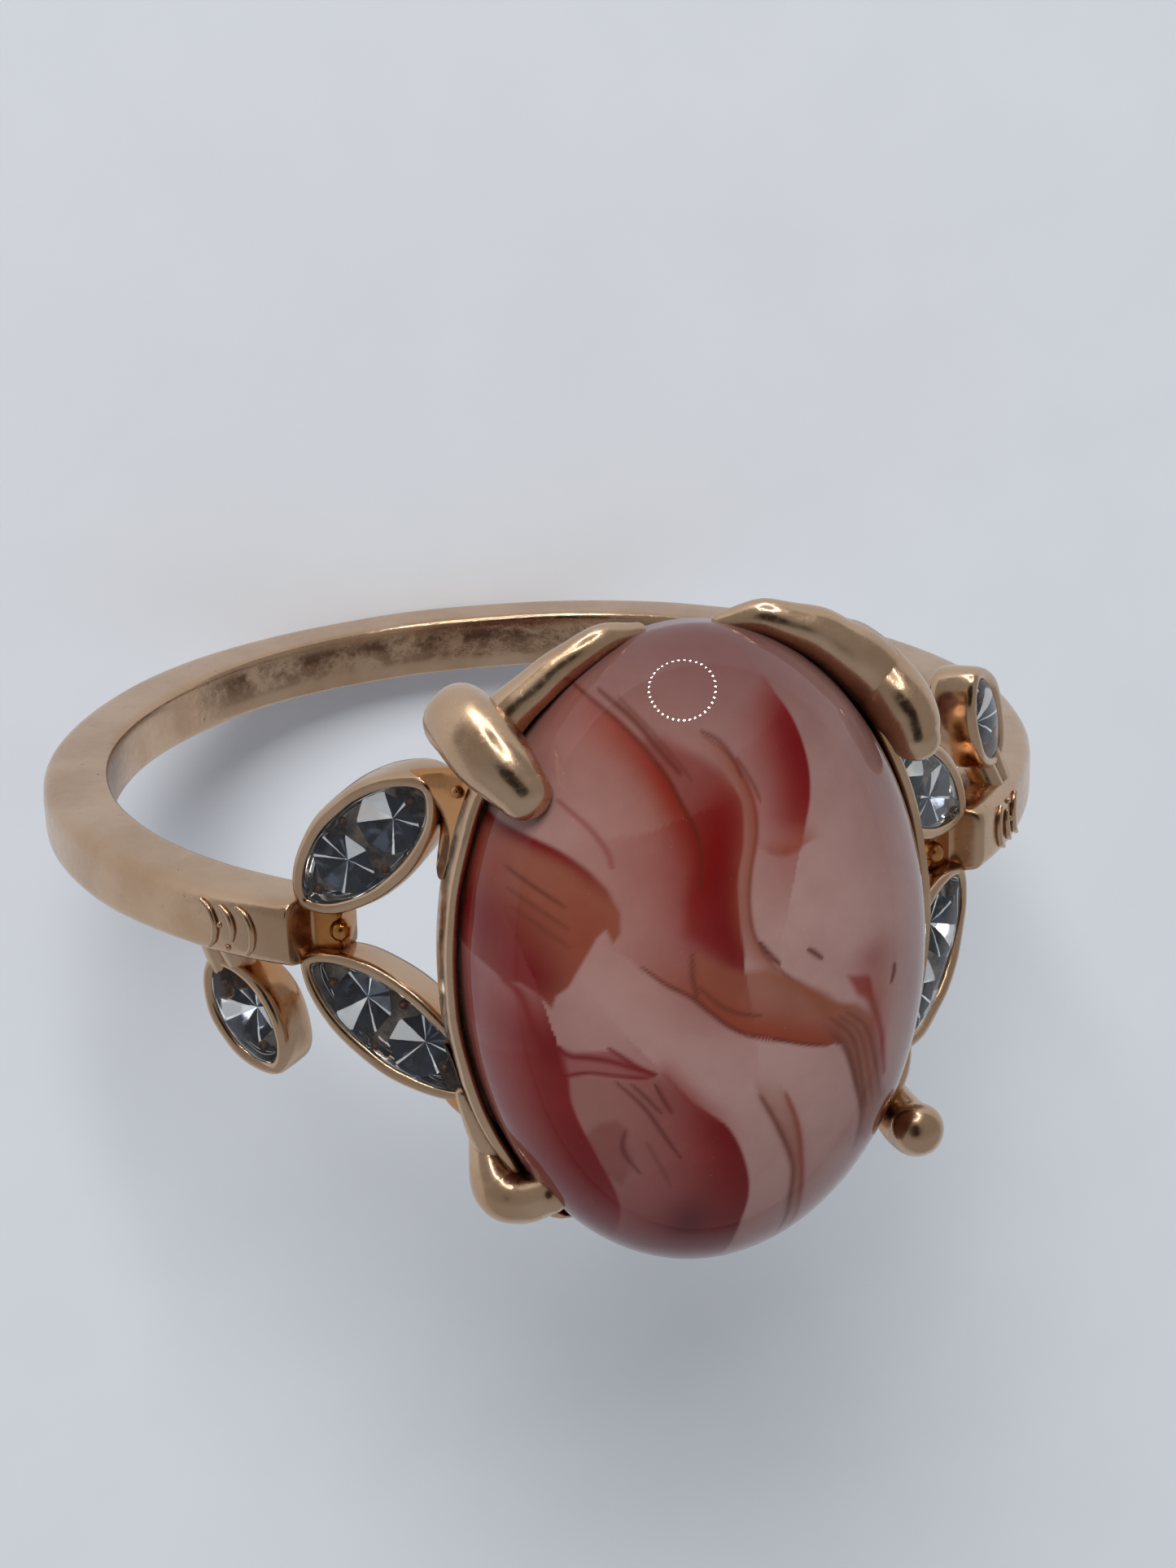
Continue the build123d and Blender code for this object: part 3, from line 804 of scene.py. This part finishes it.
class Painter:
    """Paints veils, threads and clouds of colour onto points of the dome, seen from above."""

    def __init__(self, points_mm, half_sizes, ground):
        self.size = np.array(half_sizes)
        self.points = points_mm
        self.colour = np.tile(np.array(ground), (len(points_mm), 1))

    def nearest(self, path, margin):
        """Distance, side (+1 left) and place along a path for the points near it."""
        path = curve_through(pairs(path), 3 * len(path)) * self.size
        low, high = path.min(axis=0) - margin, path.max(axis=0) + margin
        near = np.all((self.points > low) & (self.points < high), axis=1)
        spots = self.points[near]
        best, side, where = np.full(len(spots), 1e9), np.ones(len(spots)), np.zeros(len(spots))
        for k in range(len(path) - 1):
            start, step = path[k], path[k + 1] - path[k]
            along = np.clip(((spots - start) @ step) / (step @ step), 0, 1)
            gap = spots - (start + along[:, None] * step)
            distance = np.hypot(gap[:, 0], gap[:, 1])
            closer = distance < best
            best = np.where(closer, distance, best)
            side = np.where(closer, np.sign(step[0] * gap[:, 1] - step[1] * gap[:, 0]), side)
            where = np.where(closer, (k + along) / (len(path) - 1), where)
        return near, best, side, where

    def lay(self, near, alpha, colour):
        """Blend a colour over the chosen points."""
        alpha = np.clip(alpha, 0, 1)[:, None]
        self.colour[near] = self.colour[near] * (1 - alpha) + np.array(colour) * alpha

    def veil(self, path, colour, left, right, strengths):
        """Fades away from a path on each side, seen going down it; a short reach is a sharp edge."""
        near, distance, side, where = self.nearest(path, 2.5 * max(left, right))
        reach = np.where(side < 0, left, right)
        strength = np.interp(where, np.linspace(0, 1, len(strengths)), np.array(strengths) / 100)
        self.lay(near, np.exp(-(distance / reach) ** 2) * strength, colour)

    def thread(self, path, colour, strength, width=0.05):
        """A thin line that tapers to both ends."""
        near, distance, _, where = self.nearest(path, 4 * width)
        taper = np.clip(4 * where * (1 - where), 0, 1) ** 0.5
        self.lay(near, np.exp(-(distance / (width * (0.35 + 0.65 * taper))) ** 2)
                 * smooth_step(3 * taper) * strength, colour)

    def within(self, outline, soft):
        """1 inside a closed outline, falling to 0 across its soft edge."""
        closed = pairs(outline + outline[:2]) * self.size
        hit = np.zeros(len(self.points), bool)
        gap = np.full(len(self.points), 1e9)
        for (x1, y1), (x2, y2) in zip(closed[:-1], closed[1:]):
            x, y = self.points[:, 0], self.points[:, 1]
            crosses = (y1 > y) != (y2 > y)
            rise = y2 - y1 if y2 != y1 else 1e-9
            hit ^= crosses & (x < x1 + (y - y1) * (x2 - x1) / rise)
            step = np.array([x2 - x1, y2 - y1])
            along = np.clip(((x - x1) * step[0] + (y - y1) * step[1]) / (step @ step), 0, 1)
            gap = np.minimum(gap, np.hypot(x - x1 - along * step[0], y - y1 - along * step[1]))
        return smooth_step(0.5 + np.where(hit, gap, -gap) / (2 * soft))

    def fill(self, outline, colour, soft, strength):
        """A flat cloud of colour with a soft edge."""
        self.lay(slice(None), self.within(outline, soft) * strength, colour)

    def glow(self, centre, radii, colour, strength, mask=1.0):
        """A soft oval cloud of colour."""
        gap = (self.points / self.size - pairs(centre)) / pairs(radii)
        self.lay(slice(None), np.exp(-(gap ** 2).sum(axis=1)) * strength * mask, colour)


def paint_swirls(points_mm, half_sizes):
    """The stone's own swirls and a painted shade over its upper end, bottom layer first; returns one
    linear colour per point.
    """
    p = Painter(points_mm, half_sizes, MILK)
    # clouds in the ground; the first, mauve over the upper end, is painted shade for the dimmer
    # reflection on the dome's top
    p.glow((10, 110), (130, 46), MAUVE, 0.95)
    p.glow((-62, 80), (30, 14), ORANGE, 0.35)
    p.glow((-42, 45), (30, 34), PINK, 0.55)
    p.glow((-98, -10), (30, 40), ROSE, 0.45)
    p.glow((30, -90), (60, 30), PINK, 0.45)
    p.glow((98, -20), (22, 70), MAUVE, 0.35)
    p.glow((68, 58), (16, 20), MAUVE, 0.35)
    paint_upper(p)
    paint_patch(p)
    paint_loop(p)
    paint_middle(p)
    return p.colour


def paint_upper(p):
    """The two red masses of the upper half, with the tan ribbon between them."""
    p.veil(A_VEIN, ORANGE, 0.62, 0.04, (20, 50, 70, 80, 90, 90, 80, 60, 0))
    p.veil(A_VEIN, RED, 0.34, 0.04, (0, 20, 40, 70, 85, 80, 50, 20, 0))
    p.fill(A_AREA, BRICK, 0.16, 0.8)
    p.veil(A_EDGE, RED, 1.55, 0.04, (0, 30, 75, 80, 95, 95, 95, 95, 60))
    p.veil(A_EDGE, DEEP, 0.95, 0.03, (0, 20, 70, 95, 100, 100, 100, 100, 90))
    p.thread(A_VEIN, BROWN, 0.8, 0.06)
    p.thread((-43, 88, -34, 82, -27, 75, -20, 68), BROWN, 0.85, 0.07)
    p.thread((-37, 87, -29, 80, -22, 73, -16, 66), BROWN, 0.5)
    p.veil(A_RIBBON, TAN, 0.3, 0.05, (20, 70, 90, 90, 90, 80, 80, 80, 70, 70, 60, 30))
    p.thread((-10, 79, -3, 76, 2, 71, 4, 66), BROWN, 0.7, 0.06)
    p.thread((3, 72, 8, 65, 10, 60), BROWN, 0.7)
    p.thread(A_RIBBON, BROWN, 0.45, 0.04)
    p.veil(B_EDGE, RED, 1.1, 0.04, (10, 50, 80, 95, 100, 100, 95, 50))
    p.veil(B_EDGE, DEEP, 0.6, 0.03, (0, 40, 90, 100, 90, 60, 30, 0))
    p.veil(B_LOW, ORANGE, 0.05, 0.35, (0, 50, 80, 70))
    # the thin strip along the upper right claw
    p.veil((50, 90, 64, 81, 75, 69, 84, 57, 89, 48), ORANGE, 0.1, 0.22, (20, 70, 90, 90, 30))


def paint_patch(p):
    """The left patch: orange-brown above, deep red below, with its tail down the left side."""
    patch = p.within(C_PATCH, 0.04)
    p.lay(slice(None), 0.92 * patch, TAN)
    p.glow((-62, 24), (14, 16), ORANGE, 0.6, patch)
    p.glow((-98, 24), (20, 13), DEEP, 0.95, patch)
    p.glow((-84, 12), (13, 10), DEEP, 1.0, patch)
    p.glow((-96, 46), (10, 12), RED, 0.8, patch)
    p.veil(C_TOP, DEEP, 0.2, 0.05, (50, 90, 100, 90, 70, 30))
    for drop, strength in ((0, 0.8), (6, 0.55), (11, 0.4)):
        p.thread((-86, 41 - drop, -79, 38 - drop, -68, 32.5 - drop), BROWN, strength)
    p.thread((-66, 61, -58, 55.5, -52, 49, -50, 44), ROSE, 0.8, 0.06)
    p.veil(C_THREAD, DEEP, 0.08, 0.1, (90, 90, 90, 90, 100, 100))
    p.thread((-98, 20, -98.5, 5, -98, -10), RED, 0.6, 0.06)


def paint_loop(p):
    """The lower left loop: a red mass on each side of a pale, streaked middle."""
    p.fill(E_AREA, PINK, 0.1, 0.75)
    p.fill(E_AREA, MAUVE, 0.1, 0.3)
    p.fill(E_NOTCH, RUST, 0.1, 0.5)
    p.glow((-34, -80), (20, 26), ROSE, 0.6)
    p.veil(E_EDGE, ROSE, 2.2, 0.05, (60,) + (90,) * 9)
    p.veil(E_EDGE, RED, 1.2, 0.04, (80, 95, 90, 85, 90, 95, 95, 95, 95, 90))
    p.veil(E_EDGE, DEEP, 0.7, 0.03, (90, 90, 60, 60, 80, 100, 100, 100, 100, 90))
    p.glow((-47, -80), (16, 20), ROSE, 0.35)
    p.fill(E_LENS, ROSE, 0.06, 0.75)
    p.thread((-73, -19, -64, -16.5, -53, -16.5, -43, -17, -38, -16), DEEP, 0.9)
    p.thread(E_LINE, DEEP, 0.9, 0.07)
    p.thread((-56, -7.5, -50, -10.5, -44, -14, -38, -16), DEEP, 0.9, 0.06)
    p.veil(E_RIGHT, RED, 0.1, 0.3, (50, 70, 60, 30, 10) + (0,) * 5)
    p.veil(E_RIGHT, ROSE, 1.9, 0.04, (10, 30, 50, 70, 80) + (90,) * 5)
    p.veil(E_RIGHT, RED, 1.1, 0.04, (20, 30, 50, 70, 90) + (100,) * 5)
    p.veil(E_RIGHT, DEEP, 0.6, 0.03, (20, 40, 70) + (100,) * 7)
    p.glow((-21, -72), (12, 14), MAROON, 0.75)
    p.glow((-28, -95), (36, 15), DEEP, 0.9)
    for path, strength in (((-54, -18, -43, -27, -35, -36, -27, -45), 0.75),
                           ((-48, -19, -42, -24, -36, -29), 0.7),
                           ((-39, -19, -36, -24, -32, -29), 0.8),
                           ((-50, -34, -50, -42, -43, -51), 0.7),
                           ((-42, -38, -36, -47, -31, -56), 0.35)):
        p.thread(path, MAROON, 0.85 * strength)


def paint_middle(p):
    """The tan swirl across the middle, its turn down the right side, and loose threads."""
    p.veil(F_LOWER, ORANGE, 0.05, 0.5, (30, 45, 50, 40) + (30,) * 4)
    p.fill(F_AREA, TAN, 0.1, 0.75)
    p.veil(F_LOWER, ORANGE, 0.03, 0.55, (0, 20, 50, 80, 95, 100, 100, 100))
    p.thread(F_LOWER, BROWN, 0.85)
    p.thread((-22, 11, -14, 5, -6, 2, 4, 0), BROWN, 0.7)
    p.thread((-24, 21, -24, 14, -22, 7), BROWN, 0.7)
    p.fill(F_TURN, TAN, 0.08, 0.85)
    p.glow((70, -50), (16, 13), ORANGE, 0.9)
    p.glow((72, -52), (10, 9), BROWN, 0.5)
    p.veil((32, -8, 41, -17, 48, -29, 53, -42, 53, -56), BROWN, 0.05, 0.12, (30, 80, 90, 80, 40))
    for shift, strength in ((0, 0.7), (4, 0.5), (8.5, 0.7)):
        p.thread((34 + shift, -5, 44 + shift, -13, 51 + shift, -26, 56 + shift, -42), BROWN, strength)
    p.fill((43, 5.5, 53, 3.5, 56, -6, 48, -1), RED, 0.08, 0.85)
    p.thread((53, 3, 56, -6, 62, -18, 66, -33), RED, 0.9, 0.1)
    p.glow((56, 8), (12, 6), ROSE, 0.5)
    p.glow((58.5, -6), (7, 14), ORANGE, 0.6)
    p.veil(G_LEFT, TAN, 0.08, 0.3, (40, 60, 60, 50, 30, 0))
    p.thread(G_LEFT, BROWN, 0.8, 0.07)
    p.thread(G_RIGHT, RED, 0.9, 0.07)
    p.veil(G_RIGHT, TAN, 0.22, 0.04, (30, 60, 60, 50, 30, 0))
    for path in ((4, 22, 8, 18, 13, 14), (25, 17, 28, 15.5, 32, 13), (68, 3, 67.5, 0, 66, -3)):
        p.thread(path, BROWN, 0.95, 0.06)


def dome_grid(count):
    """Square grid pressed into a unit disc with equal areas, as points and quads."""
    line = np.linspace(-1, 1, count + 1)
    a, b = np.meshgrid(line, line, indexing="ij")
    wide = np.abs(a) > np.abs(b)
    radius = np.where(wide, a, b)
    with np.errstate(divide="ignore", invalid="ignore"):
        turn = np.where(wide, pi / 4 * b / a, pi / 2 - pi / 4 * a / b)
    turn = np.nan_to_num(turn)
    disc = np.stack([radius * np.cos(turn), radius * np.sin(turn)], axis=-1).reshape(-1, 2)
    side = count + 1
    faces = [(i * side + j, (i + 1) * side + j, (i + 1) * side + j + 1, i * side + j + 1)
             for i in range(count) for j in range(count)]
    rim = [*range(0, side * side, side), *range(count * side + 1, side * side),
           *range(count * side - 1, 0, -side), *range(count - 1, 0, -1)]
    return disc, faces, rim


SKIRT_HEIGHT = 0.5       # the straight foot below the dome
DOME_CELLS = 300         # along each side of its grid


def make_cabochon(material):
    """High oval dome on a short skirt, with the swirls and a painted shade on its upper end painted
    into its surface.
    """
    low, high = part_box("cabochon")
    half = np.array([high.x, high.y]) / MM
    top, bottom = high.z / MM, low.z / MM
    shoulder = bottom + SKIRT_HEIGHT
    disc, faces, rim = dome_grid(DOME_CELLS)
    reach = np.hypot(disc[:, 0], disc[:, 1])
    spread = np.where(reach > 0, np.sin(reach * pi / 2) / np.maximum(reach, 1e-9), 0)
    flat = disc * spread[:, None] * half
    height = shoulder + (top - shoulder) * np.cos(reach * pi / 2)
    dome = np.column_stack([flat, height])
    points = [dome]
    previous, total = rim, len(dome)
    for shrink, z in ((0.999, bottom + 0.06), (0.985, bottom), (0.6, bottom)):
        points.append(np.column_stack([dome[rim][:, :2] * shrink, np.full(len(rim), z)]))
        current = list(range(total, total + len(rim)))
        faces += [(previous[i], previous[i - 1], current[i - 1], current[i])
                  for i in range(len(rim))]
        previous, total = current, total + len(rim)
    faces.append(tuple(previous))
    points = np.concatenate(points)
    obj = make_mesh("cabochon_polished", points, faces, [material], radians(60))
    shifts = [tuple(noise.noise_vector(Vector((x / WOBBLE_GRAIN, y / WOBBLE_GRAIN, 3.0))))[:2]
              for x, y in points[:, :2]]
    colour = paint_swirls(points[:, :2] + WOBBLE * np.array(shifts), half)
    layer = obj.data.attributes.new("swirls_and_shade", "FLOAT_COLOR", "POINT")
    layer.data.foreach_set("color", np.column_stack([colour, np.ones(len(colour))]).ravel())
    return finish_piece(obj, "swirled_glass", "cabochon")


# --- surroundings ---
def make_floor():
    """Plain floor of matt pale paper under the band."""
    paper = mottled_material("pale_floor", (0.76, 0.8, 0.86, 1), (0.8, 0.84, 0.9, 1), (3.0,),
                             Roughness=0.9, Specular_IOR_Level=0.0).material
    half = FLOOR_HALF / MM
    z = CAD_BOX[0][2] / MM
    corners = [(-half, -half, z), (half, -half, z), (half, half, z), (-half, half, z)]
    make_mesh("floor", corners, [(0, 1, 2, 3)], [paper])


def make_world(toward_camera):
    """Pale paper on one side, a dimmer room on the other, dark where the lens and hands are."""
    world = bpy.data.worlds.new("studio")
    world.use_nodes = True
    bpy.context.scene.world = world
    n = Nodes(world.node_tree)
    direction = n.add("TexCoord").outputs["Generated"]

    def toward(vector):
        node = n.add("VectorMath", operation="DOT_PRODUCT")
        n.put(node.inputs[0], direction)
        n.put(node.inputs[1], tuple(vector))
        return node.outputs["Value"]

    paper = n.ramp(toward(PAPER_SIDE), -0.25, 0.25)
    dark = n.ramp(toward(toward_camera), cos(DARK_HALF_ANGLE + DARK_BLUR), cos(DARK_HALF_ANGLE))
    room = n.mix(dark, n.mix(paper, WORLD_ROOM, WORLD_PAPER), WORLD_DARK)
    n.put(n.tree.nodes["Background"].inputs["Color"], room)


def make_key_light():
    """A soft square light aimed at the ring, from above and +Y, that no surface mirrors."""
    data = bpy.data.lights.new("key_light", "AREA")
    data.size = KEY_SIZE
    data.energy = KEY_POWER
    data.color = KEY_COLOUR
    obj = link_object(bpy.data.objects.new("key_light", data))
    obj.location = KEY_DIRECTION * KEY_DISTANCE
    obj.rotation_euler = KEY_DIRECTION.to_track_quat("Z", "Y").to_euler()
    obj.visible_camera = False
    obj.visible_glossy = False


def make_ring_lamp():
    """A ring of small bright dots, seen only as a dotted ring in glossy surfaces."""
    glow = MaterialNodes("lamp_dots", Emission_Color=(1, 1, 1, 1), Emission_Strength=LAMP_STRENGTH)
    look = LAMP_DIRECTION.to_track_quat("Z", "Y").to_matrix()
    points, faces = [], []
    for c, s in around(LAMP_DOTS):
        spot = LAMP_AIM + LAMP_DIRECTION * LAMP_DISTANCE + look @ Vector(
            (c * LAMP_HALF_WIDTH, s * LAMP_HALF_HEIGHT, 0))
        base = len(points)
        for axis in ((1, 0, 0), (-1, 0, 0), (0, 1, 0), (0, -1, 0), (0, 0, 1), (0, 0, -1)):
            points.append(tuple((spot + Vector(axis) * LAMP_DOT_RADIUS) / MM))
        for x, y, z in ((0, 2, 4), (2, 1, 4), (1, 3, 4), (3, 0, 4),
                        (2, 0, 5), (1, 2, 5), (3, 1, 5), (0, 3, 5)):
            faces.append((base + x, base + y, base + z))
    lamp = make_mesh("ring_lamp", points, faces, [glow.material])
    lamp.visible_camera = False
    lamp.visible_diffuse = False


def make_camera():
    """A close-up camera that faces the stone from above, +Y and the left; returns the way to it."""
    turn = Matrix.Rotation(CAMERA_TURN, 3, "Y")
    rise = Matrix.Rotation(-CAMERA_RISE, 3, "X")
    roll = Matrix.Rotation(-CAMERA_ROLL, 3, "Z")
    look = turn @ rise @ roll
    data = bpy.data.cameras.new("camera")
    data.sensor_fit = "HORIZONTAL"
    data.lens = CAMERA_LENS
    data.clip_start = 1 * MM
    data.clip_end = 10.0
    obj = link_object(bpy.data.objects.new("camera", data))
    offset = look @ Vector((CAMERA_SIDEWAYS, CAMERA_UPWARD, CAMERA_DISTANCE))
    obj.matrix_world = Matrix.Translation(offset) @ look.to_4x4()
    bpy.context.scene.camera = obj
    return offset.normalized()


# --- build ---
# The right shoulder is the left one turned half round, so its upper leaf has the lower one's shape.
SHAPE_ON = {"left": {"upper": "upper", "lower": "lower", "small": "small"},
            "right": {"upper": "lower", "lower": "upper", "small": "small"}}
# Painted light: the foil facets painted lit instead of shaded, with a row for each stone in the leaf.
PAINTED_LIT_FACETS = {"upper": ((1,), (2, 3)), "lower": ((6,), (4,)), "small": ((1, 5),)}

toward_camera = make_camera()
make_world(toward_camera)
make_floor()
make_ring_lamp()
make_key_light()
bpy.context.scene.view_settings.view_transform = "Standard"

band_metal = metal_material("band_metal", 0.2, pits=0.8)
cup_metal = metal_material("cup_metal", 0.17, pits=0.2)
gallery_metal = metal_material("gallery_metal", 0.2, hollows=0.45)
claw_metal = metal_material("claw_metal", 0.22, waviness=0.7, hollows=0.35)
floor_metal = pocket_material()
resin = resin_material()
# painted light: the two foils are a painted shaded and a painted lit copy of one foil, and the lit copy
# also glows
gem_materials = [crown_material(),
                 foil_material("foil_painted_shade", (0.1, 0.12, 0.16, 1), (0.035, 0.035, 0.04, 1)),
                 foil_material("foil_painted_lit", (0.85, 0.9, 0.93, 1), (0.62, 0.64, 0.66, 1), 0.34)]

make_shank(band_metal)
make_gallery(gallery_metal)
for seed, label in enumerate(CLAWS, start=20):
    make_claw(label, claw_metal, seed)
seed = 30
for side, shapes in SHAPE_ON.items():
    for kind, shape in shapes.items():
        label = f"{side}_{kind}"
        seed += 1
        bright = PAINTED_LIT_FACETS[shape]
        make_cup(label, shape, len(bright), cup_metal, floor_metal, seed)
        make_resin(label, shape, resin)
        for number, facets in enumerate(bright, start=1):
            make_rhinestone(label, number, gem_materials, seed * 0.37 + number * 0.2, facets)
        if kind != "small":
            make_web(label, shape, cup_metal, seed + 20)
    make_tendril(side, band_metal)
make_cabochon(cabochon_material())
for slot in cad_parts["adhesive_film"].material_slots:
    slot.material = resin
